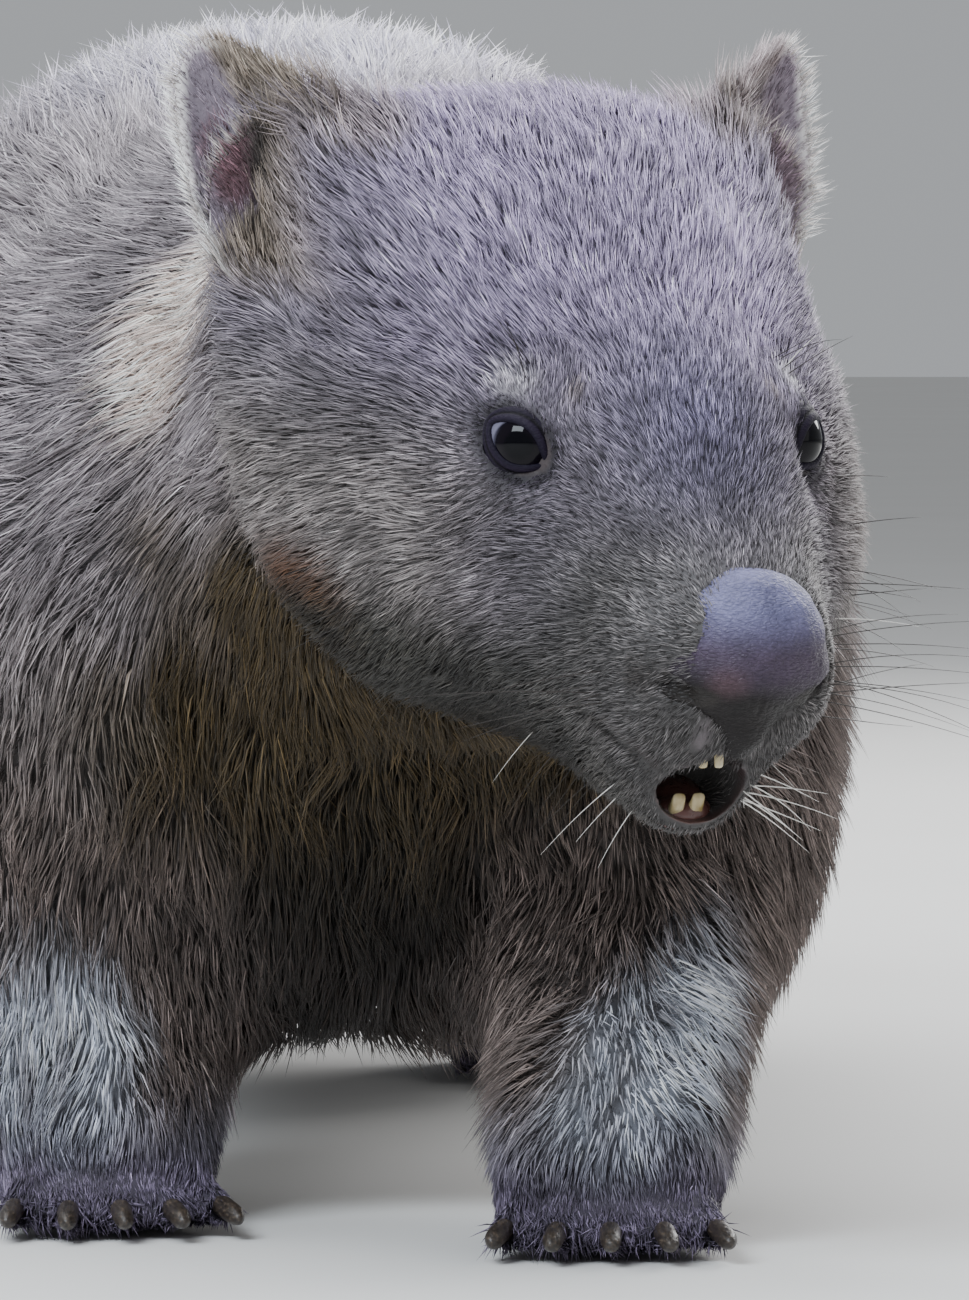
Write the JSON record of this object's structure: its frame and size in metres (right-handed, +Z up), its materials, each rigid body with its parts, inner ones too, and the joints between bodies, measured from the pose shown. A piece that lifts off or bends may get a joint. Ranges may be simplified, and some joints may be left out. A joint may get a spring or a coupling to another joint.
{
  "type": "common wombat",
  "caption": "Life-size adult common wombat standing on all fours, head low and turned to its left, mouth a little open, short thick coat.",
  "frame": {"origin": "on the floor, under the middle of the wombat's bounding box", "axes": "+Z up; the wombat's body faces -Y and +X is its left side; its head is turned about 18 degrees towards +X"},
  "size_m": [0.3266, 0.9264, 0.353],
  "materials": {
    "fur": "matte",
    "face_fur": "matte",
    "paw_fur": "matte",
    "nose_skin": "satin",
    "horn": "satin",
    "tooth": "satin",
    "eye": "gloss"
  },
  "bodies": {
    "root": {"torso": "fur", "neck": "fur", "tail": "fur", "foreleg_left": "fur", "foreleg_right": "fur", "hindleg_left": "fur", "hindleg_right": "fur", "forepaw_left": "paw_fur", "forepaw_right": "paw_fur", "hindpaw_left": "paw_fur", "hindpaw_right": "paw_fur", "head": "face_fur", "jaw": "face_fur", "ear_left": "face_fur", "ear_right": "face_fur", "nose": "nose_skin", "eye_left": "eye", "eye_right": "eye", "tooth_upper_left": "tooth", "tooth_upper_right": "tooth", "tooth_lower_left": "tooth", "tooth_lower_right": "tooth", "foreclaw_left_1": "horn", "foreclaw_left_2": "horn", "foreclaw_left_3": "horn", "foreclaw_left_4": "horn", "foreclaw_left_5": "horn", "foreclaw_right_1": "horn", "foreclaw_right_2": "horn", "foreclaw_right_3": "horn", "foreclaw_right_4": "horn", "foreclaw_right_5": "horn", "hindclaw_left_2": "horn", "hindclaw_left_3": "horn", "hindclaw_left_4": "horn", "hindclaw_left_5": "horn", "hindclaw_right_1": "horn", "hindclaw_right_2": "horn", "hindclaw_right_3": "horn", "hindclaw_right_4": "horn"}
  },
  "joints": []
}
